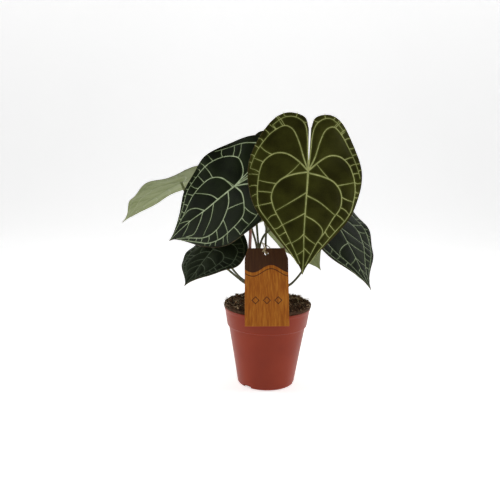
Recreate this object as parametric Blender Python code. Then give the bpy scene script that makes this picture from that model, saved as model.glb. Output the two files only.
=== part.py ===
"""A heart-leaved aroid in a nursery pot: pot, growing mix, crown, blades, petioles, young shoot, tag and twine.

Metres, +Z up. The origin is the centre of the pot's underside, and -Y faces the viewer.
"""

import math

import bmesh
import bpy
import numpy as np
from mathutils import Matrix, Vector

MM = 0.001

# Pot
POT_HEIGHT = 110.0
RIM_RADIUS = 60.0
COLLAR_BOTTOM_RADIUS = 56.0
COLLAR_BOTTOM_HEIGHT = 84.0
BODY_TOP_RADIUS = 53.8
BODY_BOTTOM_RADIUS = 40.4
BASE_RADIUS = 37.5
BASE_CORNER_HEIGHT = 3.6
POT_WALL = 1.2
POT_FLOOR = 1.6
POT_STEPS = 48
DRAIN_COUNT = 3
DRAIN_WIDTH = 14.0
DRAIN_HEIGHT = 4.6
DRAIN_DEPTH = 8.0
DRAIN_FIRST_DEGREES = 348

# Growing mix
SOIL_GAP = 0.35
SOIL_OVERHANG_RADIUS = 59.4
SOIL_SPILL = 1.8
SOIL_SPILL_DEGREES = (36, 56)
SOIL_EDGE_HEIGHT = 113.2
SOIL_CENTRE_HEIGHT = 119.5
SOIL_STEPS = 40
SOIL_RINGS = 10
SOIL_LUMP = 1.8
SOIL_SEED = 7

# Crown
CROWN_RADIUS = 9.0
CROWN_KNOB_RADIUS = 10.0
CROWN_KNOB_HEIGHT = 121.0
CROWN_FOOT_HEIGHT = 96.0
CROWN_STEPS = 24

# Right half of the blade's outline in blade lengths, from the sinus mouth over the lobe to the tip:
# across the blade, then along the midrib from where the petiole joins
HEART = (
    (0.011, -0.43), (0.05, -0.54), (0.17, -0.58), (0.28, -0.55),
    (0.38, -0.46), (0.48, -0.30), (0.545, -0.12), (0.567, 0.05),
    (0.55, 0.20), (0.49, 0.36), (0.40, 0.50), (0.29, 0.63),
    (0.18, 0.745), (0.09, 0.845), (0.03, 0.925), (0.0, 1.0),
)
BLADE_THICKNESS = 0.9
BLADE_COLUMNS = 6
BLADE_ROWS = 14
QUILT_HEIGHT = 0.012
VEIN_LOOPS = 3
CROSS_VEINS = 7
EDGE_WAVE = 0.02
EDGE_WAVES = 7
WAVE_MIDDLE = 0.2
WAVE_HALF_WIDTH = 0.56
WAVE_HALF_LENGTH = 0.8

# Each leaf: where the petiole joins the blade (mm), heading, dip and bank of the blade (degrees), blade length (mm),
# left and right width factors, fold, droop and roll of the blade, phase of its edge wave, where its petiole bends (mm)
LEAVES = {
    "a": ((44.7, -68, 299.7), -100, 78, -19, 128, 1.03, 0.99, -0.06, 0.03, -0.05, 0.4, (20, -13, 190)),
    "b": ((-50, 0, 275.6), 153.6, 35.3, -74.7, 142.4, 0.71, 0.96, 0.22, 0.11, 0.05, 1.3, (-18.5, -5, 203)),
    "c": ((-129.8, 100.5, 277.4), 156, 24.1, -0.6, 134.6, 1.0, 1.01, 0.03, 0.146, 0.046, 2.1, (-42.6, 30, 147)),
    "d": ((-77.2, 0, 188.5), 238, 31.8, 0.9, 75.1, 1.01, 1.2, 0.16, 0.02, -0.46, 0.9, (-39, -12, 150)),
    "e": ((89.2, 45, 239.7), -58.5, 43.2, -11.2, 135, 1.02, 1.02, -0.1, 0.05, 0.02, 2.8, (38, 5, 146)),
    "f": ((10, 16, 313), -78, 66, 0, 78, 1.0, 1.0, 0.03, 0.05, 0.0, 0.2, (-4, 4, 196)),
    "g": ((-17.9, 62, 253.8), 138, 46, 34, 73.5, 1.03, 1.05, 0.09, 0.05, 0.02, 1.7, (-14, 20, 195)),
    "h": ((35.6, 100, 213.2), -1, 52.8, -54, 86, 0.98, 0.99, 0.08, 0.06, -0.02, 2.4, (-12, 5, 194)),
}

# Stems: radius at the foot, in the middle and at the swollen joint under the blade
STEM_RADII = (2.3, 1.5, 1.9)
STEM_GAP = 0.45
STEM_JOIN = 0.03
STEM_LEAN_DEGREES = 52
STEM_END_REACH = 16.0
STEM_FOOT_REACH = 26.0
STEM_DIRECTIONS = {"a": 310, "b": 190, "c": 150, "d": 230, "e": 350, "f": 30, "g": 110, "h": 70}

# Young shoot
SHOOT_PATH = ((-24.6, -22, 185), (-25.6, -22, 218), (-26.2, -22, 229.5))
SHOOT_RADII = (2.1, 2.2, 2.0, 0.25)
SHOOT_DIRECTION = 270

# Tag and twine
TAG_WIDTH = 58.0
TAG_HEIGHT = 104.0
TAG_THICKNESS = 0.8
TAG_CHAMFER_ACROSS = 5.0
TAG_CHAMFER_ALONG = 14.0
TAG_HOLE_RADIUS = 2.6
TAG_HOLE_BELOW_TOP = 7.0
TAG_FOOT = (-1.6, -65.2, 99.5)
TAG_TOP = (-4.0, -28.0, 197.0)
TWINE_RADIUS = 0.7
TWINE_PATH = (
    (-5.5, -33.0, 191.0), (-7.5, -31.5, 199.5), (-9.0, -22.0, 202.5), (-8.5, -8.0, 200.0),
    (-3.5, 0.5, 196.5), (1.8, -8.0, 193.5), (-1.0, -22.0, 190.5), (-4.6, -28.6, 189.6),
)


def clear_scene():
    for held in list(bpy.data.objects):
        bpy.data.objects.remove(held)


def material(name, colour, roughness):
    made = bpy.data.materials.new(name)
    made.use_nodes = True
    shader = made.node_tree.nodes["Principled BSDF"]
    shader.inputs["Base Color"].default_value = (*colour, 1.0)
    shader.inputs["Roughness"].default_value = roughness
    return made


def add_mesh(name, points, faces, look):
    """An object from points in millimetres, with its faces turned outwards."""
    mesh = bpy.data.meshes.new(name)
    mesh.from_pydata([tuple(point) for point in np.asarray(points) * MM], [], faces)
    shell = bmesh.new()
    shell.from_mesh(mesh)
    bmesh.ops.recalc_face_normals(shell, faces=shell.faces)
    shell.to_mesh(mesh)
    shell.free()
    made = bpy.data.objects.new(name, mesh)
    made.data.materials.append(look)
    bpy.context.scene.collection.objects.link(made)
    return made


def add_turned(name, profile, steps, look):
    """A solid of revolution. The profile runs down the outer side."""
    points = [(radius, 0.0, height) for radius, height in profile]
    mesh = bpy.data.meshes.new(name)
    edges = [(i, i + 1) for i in range(len(points) - 1)]
    mesh.from_pydata([tuple(c * MM for c in point) for point in points], edges, [])
    made = bpy.data.objects.new(name, mesh)
    made.data.materials.append(look)
    bpy.context.scene.collection.objects.link(made)
    screw = made.modifiers.new("Turn", "SCREW")
    screw.axis = "Z"
    screw.steps = steps
    screw.render_steps = steps
    screw.use_merge_vertices = True
    screw.merge_threshold = 0.00005
    return made


def cut(target, cutter):
    cutter.hide_render = True
    cutter.display_type = "WIRE"
    boolean = target.modifiers.new("Cut", "BOOLEAN")
    boolean.operation = "DIFFERENCE"
    boolean.solver = "EXACT"
    boolean.object = cutter


def smooth_line(points, count):
    """Points spaced evenly along a Catmull-Rom curve."""
    points = np.asarray(points, float)
    ends = np.vstack([2 * points[0] - points[1], points, 2 * points[-1] - points[-2]])
    share = np.linspace(0, 1, 12, endpoint=False)[:, None]
    parts = []
    for i in range(1, len(ends) - 2):
        before, start, stop, after = ends[i - 1], ends[i], ends[i + 1], ends[i + 2]
        linear = (stop - before) * share
        square = (2 * before - 5 * start + 4 * stop - after) * share**2
        cube = (3 * start - before - 3 * stop + after) * share**3
        parts.append(start + 0.5 * (linear + square + cube))
    fine = np.vstack([*parts, points[-1:]])
    run = np.concatenate([[0], np.cumsum(np.linalg.norm(np.diff(fine, axis=0), axis=1))])
    wanted = np.linspace(0, run[-1], count)
    return np.stack([np.interp(wanted, run, fine[:, axis]) for axis in range(points.shape[1])], axis=-1)


def blade_axes(heading, dip, bank):
    """Unit vectors across the blade, along its midrib and out of its upper face."""
    heading, dip, bank = (math.radians(angle) for angle in (heading, dip, bank))
    along = Vector((math.cos(heading) * math.cos(dip), math.sin(heading) * math.cos(dip), -math.sin(dip)))
    level = Vector((math.cos(heading) * math.sin(dip), math.sin(heading) * math.sin(dip), math.cos(dip)))
    side = level.cross(along)
    across = side * math.cos(bank) + level * math.sin(bank)
    out = level * math.cos(bank) - side * math.sin(bank)
    return np.array(across), np.array(along), np.array(out)


def blade_grid():
    """Places in the blade in blade lengths, and how far each is from the midrib (0) to the edge (1) and from the sinus
    (0) to the tip (1). Columns are nested hearts, like the veins, and rows run from the midrib to the edge."""
    down = np.linspace(0, 1, BLADE_ROWS + 1)[:-1, None]
    side = np.linspace(-1, 1, 2 * BLADE_COLUMNS + 1)[None, :]
    out = np.abs(side)
    edge = smooth_line(HEART, BLADE_ROWS + 1)[:-1, None, :]
    rib = np.stack([np.zeros_like(down), down**1.5], axis=-1)
    place = rib * (1 - out)[..., None] + edge * out[..., None]
    mouth = np.array((0.0, HEART[0][1]))
    place = place + mouth * ((out**1.5 - out) * (1 - down) ** 4)[..., None]
    place[..., 0] *= np.sign(side)
    return place, out + 0 * down, down + 0 * side


def edge_wave(across, along, phase):
    """Rise of the wavy margin in blade lengths: it grows with the cube of the distance from the blade's middle."""
    reach = np.hypot(across / WAVE_HALF_WIDTH, (along - WAVE_MIDDLE) / WAVE_HALF_LENGTH)
    angle = np.arctan2(across, along - WAVE_MIDDLE)
    return EDGE_WAVE * np.clip(reach, 0, 1.1) ** 3 * np.sin(EDGE_WAVES * angle + phase)


def blade_points(leaf):
    joint, heading, dip, bank, length, left, right, fold, droop, roll, phase, _ = leaf
    place, out, down = blade_grid()
    place = np.vstack([place.reshape(-1, 2), [(0.0, 1.0)]])
    out = np.append(out.reshape(-1), 0.0)
    down = np.append(down.reshape(-1), 1.0)
    wide = place[:, 0] * np.where(place[:, 0] < 0, left, right)
    long = place[:, 1]
    rise = fold * np.abs(wide) - droop * long**2 + roll * wide**2
    rise = rise + edge_wave(place[:, 0], long, phase)
    between_loops = np.abs(np.sin(math.pi * VEIN_LOOPS * out))
    between_crossings = np.abs(np.sin(math.pi * CROSS_VEINS * down))
    rise = rise + QUILT_HEIGHT * between_loops * (0.35 + 0.65 * between_crossings) * np.sin(math.pi * down)
    across, along, normal = blade_axes(heading, dip, bank)
    offsets = np.outer(wide, across) + np.outer(long, along) + np.outer(rise, normal)
    return np.array(joint, float) + length * offsets


def blade_faces():
    across = 2 * BLADE_COLUMNS + 1
    tip = across * BLADE_ROWS
    faces = []
    for row in range(BLADE_ROWS - 1):
        for column in range(across - 1):
            a = row * across + column
            b, c, d = a + 1, a + across + 1, a + across
            halves = ((a, b, c), (a, c, d)) if column < BLADE_COLUMNS else ((a, b, d), (b, c, d))
            faces.extend(halves)
    last = (BLADE_ROWS - 1) * across
    faces.extend((last + column, last + column + 1, tip) for column in range(across - 1))
    return faces


def add_blade(letter, leaf, look):
    blade = add_mesh(f"leaf_{letter}_blade", blade_points(leaf), blade_faces(), look)
    solid = blade.modifiers.new("Thickness", "SOLIDIFY")
    solid.thickness = BLADE_THICKNESS * MM
    solid.offset = 0.0


def add_stem(name, knots, radii, handles, look):
    """A round tapered tube through the knots, in millimetres, with closed ends."""
    curve = bpy.data.curves.new(name, "CURVE")
    curve.dimensions = "3D"
    curve.bevel_depth = MM
    curve.bevel_resolution = 2
    curve.resolution_u = 5
    curve.use_fill_caps = True
    spline = curve.splines.new("BEZIER")
    spline.bezier_points.add(len(knots) - 1)
    for point, knot, radius in zip(spline.bezier_points, knots, radii):
        point.co = Vector(knot) * MM
        point.radius = radius
        point.handle_left_type = "AUTO"
        point.handle_right_type = "AUTO"
    for point, handle in zip((spline.bezier_points[0], spline.bezier_points[-1]), handles):
        point.handle_left_type = "FREE"
        point.handle_right_type = "FREE"
        point.handle_right = point.co + Vector(handle) * MM
        point.handle_left = point.co - Vector(handle) * MM
    made = bpy.data.objects.new(name, curve)
    made.data.materials.append(look)
    bpy.context.scene.collection.objects.link(made)


def crown_direction(degrees):
    lean = math.radians(STEM_LEAN_DEGREES)
    turn = math.radians(degrees)
    return np.array((math.cos(turn) * math.sin(lean), math.sin(turn) * math.sin(lean), math.cos(lean)))


def crown_start(degrees):
    centre = np.array((0, 0, CROWN_KNOB_HEIGHT))
    return centre + (CROWN_KNOB_RADIUS + STEM_GAP) * crown_direction(degrees)


def add_petiole(letter, leaf, look):
    joint, heading, dip, bank, length = leaf[:5]
    _, along, normal = blade_axes(heading, dip, bank)
    under = BLADE_THICKNESS / 2 + STEM_GAP
    end = np.array(joint, float) + along * STEM_JOIN * length - normal * under
    degrees = STEM_DIRECTIONS[letter]
    knots = (crown_start(degrees), leaf[-1], end)
    handles = (crown_direction(degrees) * STEM_FOOT_REACH, normal * STEM_END_REACH)
    add_stem(f"leaf_{letter}_petiole", knots, STEM_RADII, handles, look)


def add_shoot(look):
    knots = (crown_start(SHOOT_DIRECTION), *SHOOT_PATH)
    handles = (crown_direction(SHOOT_DIRECTION) * STEM_FOOT_REACH, np.array((0, 0, 4)))
    add_stem("young_shoot", knots, SHOOT_RADII, handles, look)


def add_crown(look):
    profile = [(0.0, CROWN_KNOB_HEIGHT + CROWN_KNOB_RADIUS)]
    for degrees in (20, 40, 60, 80, 100, 118):
        angle = math.radians(degrees)
        reach = CROWN_KNOB_RADIUS * math.sin(angle)
        profile.append((reach, CROWN_KNOB_HEIGHT + CROWN_KNOB_RADIUS * math.cos(angle)))
    profile += [(CROWN_RADIUS * 0.98, CROWN_FOOT_HEIGHT + 4), (0.0, CROWN_FOOT_HEIGHT)]
    add_turned("crown", profile, CROWN_STEPS, look)


def body_radius(height):
    share = (height - BASE_CORNER_HEIGHT) / (COLLAR_BOTTOM_HEIGHT - BASE_CORNER_HEIGHT)
    return BODY_BOTTOM_RADIUS + (BODY_TOP_RADIUS - BODY_BOTTOM_RADIUS) * share


def add_pot(look):
    inner_step = COLLAR_BOTTOM_HEIGHT + POT_WALL
    profile = [
        (0.0, POT_FLOOR),
        (BASE_RADIUS - POT_WALL, POT_FLOOR),
        (BODY_BOTTOM_RADIUS - POT_WALL, BASE_CORNER_HEIGHT + 0.8),
        (BODY_TOP_RADIUS - POT_WALL, inner_step - 3.0),
        (COLLAR_BOTTOM_RADIUS - POT_WALL, inner_step),
        (RIM_RADIUS - POT_WALL, POT_HEIGHT),
        (RIM_RADIUS - 0.2, POT_HEIGHT),
        (RIM_RADIUS, POT_HEIGHT - 0.6),
        (COLLAR_BOTTOM_RADIUS, COLLAR_BOTTOM_HEIGHT + 0.5),
        (COLLAR_BOTTOM_RADIUS - 0.5, COLLAR_BOTTOM_HEIGHT),
        (BODY_TOP_RADIUS, COLLAR_BOTTOM_HEIGHT - 1.0),
        (BODY_BOTTOM_RADIUS, BASE_CORNER_HEIGHT),
        (BODY_BOTTOM_RADIUS - 1.0, 1.0),
        (BASE_RADIUS, 0.0),
        (0.0, 0.0),
    ]
    pot = add_turned("pot", profile, POT_STEPS, look)
    cut(pot, drain_cutter(look))


def drain_cutter(look):
    """One mesh of blocks that cut the drain notches out of the pot's bottom corner."""
    shell = bmesh.new()
    for number in range(DRAIN_COUNT):
        turn = Matrix.Rotation(math.radians(DRAIN_FIRST_DEGREES + number * 360 / DRAIN_COUNT), 4, "Z")
        middle = Vector((BODY_BOTTOM_RADIUS + 2.0 - DRAIN_DEPTH / 2, 0, DRAIN_HEIGHT / 2 - 1.0)) * MM
        size = Matrix.Diagonal((DRAIN_DEPTH * MM, DRAIN_WIDTH * MM, DRAIN_HEIGHT * MM, 1))
        bmesh.ops.create_cube(shell, size=1.0, matrix=turn @ Matrix.Translation(middle) @ size)
    mesh = bpy.data.meshes.new("drain_cutter")
    shell.to_mesh(mesh)
    shell.free()
    made = bpy.data.objects.new("drain_cutter", mesh)
    made.data.materials.append(look)
    bpy.context.scene.collection.objects.link(made)
    return made


def soil_profile():
    """Radius and height down the mix: from the crown's hole, over the heap and the rim, to the floor."""
    hole = CROWN_RADIUS + 1.4
    heap = []
    for share in np.linspace(0, 1, SOIL_RINGS):
        radius = hole + (SOIL_OVERHANG_RADIUS - hole) * share
        fall = (SOIL_CENTRE_HEIGHT - SOIL_EDGE_HEIGHT) * (radius / SOIL_OVERHANG_RADIUS) ** 2
        heap.append((radius, SOIL_CENTRE_HEIGHT - fall))
    rim = POT_HEIGHT + SOIL_GAP
    inside = POT_WALL + SOIL_GAP
    wall = [
        (SOIL_OVERHANG_RADIUS, rim + 0.5),
        (SOIL_OVERHANG_RADIUS - 0.4, rim),
        (RIM_RADIUS - inside, rim),
        (COLLAR_BOTTOM_RADIUS - inside, COLLAR_BOTTOM_HEIGHT + POT_WALL),
        (BODY_TOP_RADIUS - inside, COLLAR_BOTTOM_HEIGHT + POT_WALL - 3.0),
        (BODY_BOTTOM_RADIUS - inside, BASE_CORNER_HEIGHT + 1.5),
        (BODY_BOTTOM_RADIUS - inside - 5.0, POT_FLOOR + SOIL_GAP + 0.4),
    ]
    return [(hole, CROWN_FOOT_HEIGHT - 0.5), *heap, *wall]


def soil_spill(radius, height, turn):
    """How far the mix spills out over the rim. It doesn't behind the tag, which leans on the front of the rim."""
    start, full = (math.radians(angle) for angle in SOIL_SPILL_DEGREES)
    from_front = np.abs((turn + math.pi / 2 + math.pi) % (2 * math.pi) - math.pi)
    share = np.clip((from_front - start) / (full - start), 0, 1)
    over_rim = (height > POT_HEIGHT) & (radius > RIM_RADIUS - POT_WALL)
    return SOIL_SPILL * share * over_rim


def add_soil(look):
    """The mix, its heap roughened, closed by a flat foot and by the bottom of the crown's hole."""
    profile = np.array(soil_profile())
    turn = np.linspace(0, 2 * math.pi, SOIL_STEPS, endpoint=False)
    rough = np.random.default_rng(SOIL_SEED).uniform(-1, 1, (len(profile), SOIL_STEPS))
    heap = np.zeros(len(profile))
    heap[1 : SOIL_RINGS + 1] = SOIL_LUMP
    heap[SOIL_RINGS] = 0.8
    height = profile[:, 1, None] + rough * heap[:, None]
    radius = profile[:, 0, None] + soil_spill(profile[:, 0, None], profile[:, 1, None], turn)
    points = np.stack([radius * np.cos(turn), radius * np.sin(turn), height], axis=-1).reshape(-1, 3)
    rings = len(profile)
    faces = []
    for ring in range(rings - 1):
        for step in range(SOIL_STEPS):
            after = (step + 1) % SOIL_STEPS
            a, b = ring * SOIL_STEPS + step, ring * SOIL_STEPS + after
            c, d = b + SOIL_STEPS, a + SOIL_STEPS
            faces.extend(((a, b, c), (a, c, d)))
    faces.append(tuple(range(SOIL_STEPS)))
    faces.append(tuple(reversed(range((rings - 1) * SOIL_STEPS, rings * SOIL_STEPS))))
    add_mesh("growing_mix", points, faces, look)


def add_tag(look):
    """A flat card with two cut corners and a punched hole, leaning from the pot's rim to the stems."""
    half = TAG_WIDTH / 2
    outline = [
        (-half, 0.0),
        (half, 0.0),
        (half, TAG_HEIGHT - TAG_CHAMFER_ALONG),
        (half - TAG_CHAMFER_ACROSS, TAG_HEIGHT),
        (TAG_CHAMFER_ACROSS - half, TAG_HEIGHT),
        (-half, TAG_HEIGHT - TAG_CHAMFER_ALONG),
    ]
    foot = Vector(TAG_FOOT)
    up = (Vector(TAG_TOP) - foot).normalized()
    out = Vector((1, 0, 0)).cross(up).normalized()
    across = up.cross(out)
    corners = []
    for depth in (TAG_THICKNESS / 2, -TAG_THICKNESS / 2):
        corners += [foot + across * x + up * y + out * depth for x, y in outline]
    count = len(outline)
    faces = [tuple(range(count)), tuple(reversed(range(count, 2 * count)))]
    faces += [(i, i + count, (i + 1) % count + count, (i + 1) % count) for i in range(count)]
    tag = add_mesh("tag", np.array(corners), faces, look)
    hole = foot + up * (TAG_HEIGHT - TAG_HOLE_BELOW_TOP)
    shell = bmesh.new()
    place = Matrix.Translation(hole * MM) @ out.to_track_quat("Z", "Y").to_matrix().to_4x4()
    radius = TAG_HOLE_RADIUS * MM
    bmesh.ops.create_cone(
        shell, cap_ends=True, segments=20, radius1=radius, radius2=radius, depth=6 * MM, matrix=place
    )
    mesh = bpy.data.meshes.new("tag_hole_cutter")
    shell.to_mesh(mesh)
    shell.free()
    cutter = bpy.data.objects.new("tag_hole_cutter", mesh)
    bpy.context.scene.collection.objects.link(cutter)
    cut(tag, cutter)


def add_twine(look):
    """A closed loop of twine through the tag's hole and round a petiole."""
    curve = bpy.data.curves.new("twine", "CURVE")
    curve.dimensions = "3D"
    curve.bevel_depth = TWINE_RADIUS * MM
    curve.bevel_resolution = 2
    curve.resolution_u = 4
    spline = curve.splines.new("BEZIER")
    spline.bezier_points.add(len(TWINE_PATH) - 1)
    for point, place in zip(spline.bezier_points, TWINE_PATH):
        point.co = Vector(place) * MM
        point.handle_left_type = "AUTO"
        point.handle_right_type = "AUTO"
    spline.use_cyclic_u = True
    made = bpy.data.objects.new("twine", curve)
    made.data.materials.append(look)
    bpy.context.scene.collection.objects.link(made)


clear_scene()
add_pot(material("pot_plastic", (0.27, 0.07, 0.04), 0.5))
add_soil(material("growing_mix", (0.03, 0.02, 0.014), 0.95))
add_crown(material("crown_bark", (0.12, 0.1, 0.04), 0.8))
blade_look = material("blade_velvet", (0.02, 0.05, 0.022), 0.65)
stem_look = material("petiole_skin", (0.1, 0.12, 0.03), 0.5)
for leaf_letter, leaf_shape in LEAVES.items():
    add_blade(leaf_letter, leaf_shape, blade_look)
    add_petiole(leaf_letter, leaf_shape, stem_look)
add_shoot(material("shoot_skin", (0.35, 0.09, 0.06), 0.5))
add_tag(material("tag_card", (0.35, 0.13, 0.035), 0.7))
add_twine(material("twine_fibre", (0.5, 0.4, 0.25), 0.9))
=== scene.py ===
"""Looks of a heart-leaved aroid in a nursery pot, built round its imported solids.

Metres, +Z up, the origin under the middle of the pot, -Y towards the viewer. Sizes are in millimetres until a
mesh is made. The order is that of potting: pot, mix, crown, leaves, young shoot, tag, twine, then the studio.
"""

import math
from collections import namedtuple
from itertools import combinations

import bpy
import numpy as np
from mathutils import Matrix


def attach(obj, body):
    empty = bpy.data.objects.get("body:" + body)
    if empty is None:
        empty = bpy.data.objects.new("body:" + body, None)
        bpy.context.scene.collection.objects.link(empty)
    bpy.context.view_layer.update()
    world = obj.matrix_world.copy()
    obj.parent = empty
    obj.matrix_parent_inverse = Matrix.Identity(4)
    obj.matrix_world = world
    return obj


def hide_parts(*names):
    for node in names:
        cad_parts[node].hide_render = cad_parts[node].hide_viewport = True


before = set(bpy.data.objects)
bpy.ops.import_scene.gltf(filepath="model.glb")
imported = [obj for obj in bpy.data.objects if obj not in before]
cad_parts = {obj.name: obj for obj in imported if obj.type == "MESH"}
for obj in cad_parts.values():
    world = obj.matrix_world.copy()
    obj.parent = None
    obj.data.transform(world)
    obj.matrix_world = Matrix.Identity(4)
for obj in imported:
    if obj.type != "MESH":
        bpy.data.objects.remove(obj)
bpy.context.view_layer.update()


# Nursery pot
# A thin-walled pot injection moulded in terracotta-coloured polypropylene, in one piece with its deep
# collar. It stands on its flat base, and notches at the bottom corner let water out.

POT_HEIGHT = 110.0
RIM_RADIUS = 60.0
COLLAR_FOOT_RADIUS = 56.0
COLLAR_FOOT_HEIGHT = 84.0
BODY_TOP_RADIUS = 53.8
BODY_FOOT_RADIUS = 40.4
BASE_RADIUS = 37.5
POT_WALL = 1.2


def tint(code):
    """An sRGB hex colour as linear RGBA: c/12.92 for dark values, else ((c + 0.055)/1.055) to the power
    2.4."""
    values = np.array([int(code[i : i + 2], 16) for i in (1, 3, 5)]) / 255
    linear = np.where(values <= 0.04045, values / 12.92, ((values + 0.055) / 1.055) ** 2.4)
    return (*linear.tolist(), 1.0)


def add_node(tree, kind, links=None, settings=None, **values):
    """Adds one shader node. links maps an input to the socket that feeds it, values and settings set the
    rest."""
    node = tree.nodes.new("ShaderNode" + kind)
    for name, value in values.items():
        setattr(node, name, value)
    for name, value in (settings or {}).items():
        node.inputs[name].default_value = value
    for name, socket in (links or {}).items():
        tree.links.new(socket, node.inputs[name])
    return node


def new_finish(name, roughness, **sockets):
    """A material with its Principled shader, and that shader's uniform values."""
    made = bpy.data.materials.new(name)
    made.use_nodes = True
    shader = made.node_tree.nodes["Principled BSDF"]
    shader.inputs["Roughness"].default_value = roughness
    for socket, value in sockets.items():
        shader.inputs[socket.replace("_", " ")].default_value = value
    return made, made.node_tree, shader


def colour_ramp(tree, factor, *stops):
    """A Color Ramp over factor. Each stop is its place and its hex colour."""
    ramp = add_node(tree, "ValToRGB", {"Fac": factor})
    while len(ramp.color_ramp.elements) < len(stops):
        ramp.color_ramp.elements.new(0.5)
    for element, (place, code) in zip(ramp.color_ramp.elements, stops):
        element.position = place
        element.color = tint(code)
    return ramp.outputs["Color"]


def object_place(tree):
    """The piece's own coordinates, in metres."""
    return add_node(tree, "TexCoord").outputs["Object"]


def noise(tree, place, scale, detail, **more):
    """A Noise texture's value. more holds its other inputs."""
    settings = {"Scale": scale, "Detail": detail, **more}
    return add_node(tree, "TexNoise", {"Vector": place}, settings).outputs["Fac"]


def give_colour(tree, shader, factor, *stops):
    """Feeds the base colour from a colour ramp."""
    tree.links.new(colour_ramp(tree, factor, *stops), shader.inputs["Base Color"])


def give_bump(tree, shader, height, strength, depth):
    """Bumps the surface by the height socket over a depth in millimetres."""
    settings = {"Strength": strength, "Distance": depth * 0.001}
    bump = add_node(tree, "Bump", {"Height": height}, settings)
    tree.links.new(bump.outputs["Normal"], shader.inputs["Normal"])


def grid_faces(rows, columns, wrap=False):
    """Quads of a grid of rows x columns points. With wrap the last column joins the first."""
    across = columns if wrap else columns - 1
    row, column = np.meshgrid(np.arange(rows - 1), np.arange(across), indexing="ij")
    after = (column + 1) % columns
    here, there = row * columns, (row + 1) * columns
    return np.stack([here + column, here + after, there + after, there + column], axis=-1).reshape(-1, 4)


def closed_faces(rows, columns, first=0):
    """Faces of a grid whose rows are rings, with both end rings closed. Its points count up from first."""
    sides = (grid_faces(rows, columns, wrap=True)[:, ::-1] + first).tolist()
    last = first + (rows - 1) * columns
    return [*sides, tuple(range(first, first + columns)), tuple(reversed(range(last, last + columns)))]


def add_piece(name, points, faces, finish, slot, node=None, attributes=None, uv=None):
    """A smooth mesh piece from millimetre points, with its finish and frame body. The slot argument is not
    used.
    """
    mesh = bpy.data.meshes.new(name)
    points = np.asarray(points, np.float64).reshape(-1, 3) * 0.001
    mesh.from_pydata(points.tolist(), [], [tuple(face) for face in faces])
    mesh.polygons.foreach_set("use_smooth", np.ones(len(mesh.polygons), bool))
    for label, values in (attributes or {}).items():
        layer = mesh.attributes.new(label, "FLOAT", "POINT")
        layer.data.foreach_set("value", np.asarray(values, np.float32).reshape(-1))
    if uv is not None:
        corner = np.empty(len(mesh.loops), np.int32)
        mesh.loops.foreach_get("vertex_index", corner)
        layer = mesh.uv_layers.new(name="UVMap")
        layer.data.foreach_set("uv", np.asarray(uv, np.float32).reshape(-1, 2)[corner].reshape(-1))
    mesh.update()
    mesh.materials.append(finish)
    piece = bpy.data.objects.new(name, mesh)
    bpy.context.scene.collection.objects.link(piece)
    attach(piece, "root")
    if node:
        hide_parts(node)
    return piece


def turned(profile, steps):
    """A closed profile (radius r, height z) turned about the axis: (r cos a, r sin a, z) for a from 0 to 2
    pi."""
    profile = np.asarray(profile, float)
    turn = np.linspace(0, 2 * math.pi, steps, endpoint=False)
    radius, height = profile[:, :1], profile[:, 1:]
    return np.stack([radius * np.cos(turn), radius * np.sin(turn), height + 0 * turn], axis=-1)


def arc_profile(centre, radius, start, stop, count):
    """Points of an arc from start to stop degrees: centre + radius (cos a, sin a)."""
    angle = np.radians(np.linspace(start, stop, count))
    return np.stack([centre[0] + radius * np.cos(angle), centre[1] + radius * np.sin(angle)], axis=-1)


def pot_profile():
    """Outer side from the base over the rim's rounded lip and down the inner side to the floor."""
    lip = arc_profile((RIM_RADIUS - 0.7, POT_HEIGHT - 0.7), 0.7, 0, 180, 9)
    corner = arc_profile((BASE_RADIUS - 0.2, 3.2), 3.2, -90, -10, 8)
    outer = [
        (0.5, 0.0),
        (BASE_RADIUS - 8.0, 0.0),
        *corner,
        (BODY_FOOT_RADIUS + 0.2, 4.6),
        (BODY_FOOT_RADIUS + 6.5, 43.0),
        (BODY_TOP_RADIUS - 0.3, COLLAR_FOOT_HEIGHT - 2.5),
        (BODY_TOP_RADIUS, COLLAR_FOOT_HEIGHT - 0.6),
        (BODY_TOP_RADIUS + 0.5, COLLAR_FOOT_HEIGHT - 0.1),
        (COLLAR_FOOT_RADIUS - 0.7, COLLAR_FOOT_HEIGHT + 0.1),
        (COLLAR_FOOT_RADIUS - 0.15, COLLAR_FOOT_HEIGHT + 0.5),
        (COLLAR_FOOT_RADIUS + 0.1, COLLAR_FOOT_HEIGHT + 1.3),
        (RIM_RADIUS - 1.0, POT_HEIGHT - 6.0),
        (RIM_RADIUS - 0.75, POT_HEIGHT - 4.2),
        (RIM_RADIUS - 0.15, POT_HEIGHT - 3.2),
        (RIM_RADIUS, POT_HEIGHT - 2.4),
    ]
    inner = [
        (RIM_RADIUS - POT_WALL - 0.4, POT_HEIGHT - 5.0),
        (COLLAR_FOOT_RADIUS - POT_WALL, COLLAR_FOOT_HEIGHT + 1.6),
        (BODY_TOP_RADIUS - POT_WALL, COLLAR_FOOT_HEIGHT - 1.0),
        (BODY_FOOT_RADIUS - POT_WALL, 5.4),
        (BASE_RADIUS - POT_WALL, 1.6),
        (0.5, 1.6),
    ]
    return np.vstack([outer, lip, inner])


# Moulded polypropylene is satin, a little translucent, and shows faint flow marks under its gloss.
pot_finish, tree, shader = new_finish(
    "moulded_terracotta_polypropylene", 0.38, IOR=1.49, Specular_IOR_Level=0.22, Subsurface_Weight=0.02
)
shader.inputs["Subsurface Radius"].default_value = (0.004, 0.0015, 0.001)
place = object_place(tree)
give_colour(tree, shader, noise(tree, place, 26, 3), (0.3, "#832a11"), (0.7, "#8c3014"))
give_bump(tree, shader, noise(tree, place, 1400, 2), 0.12, 0.4)

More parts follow.
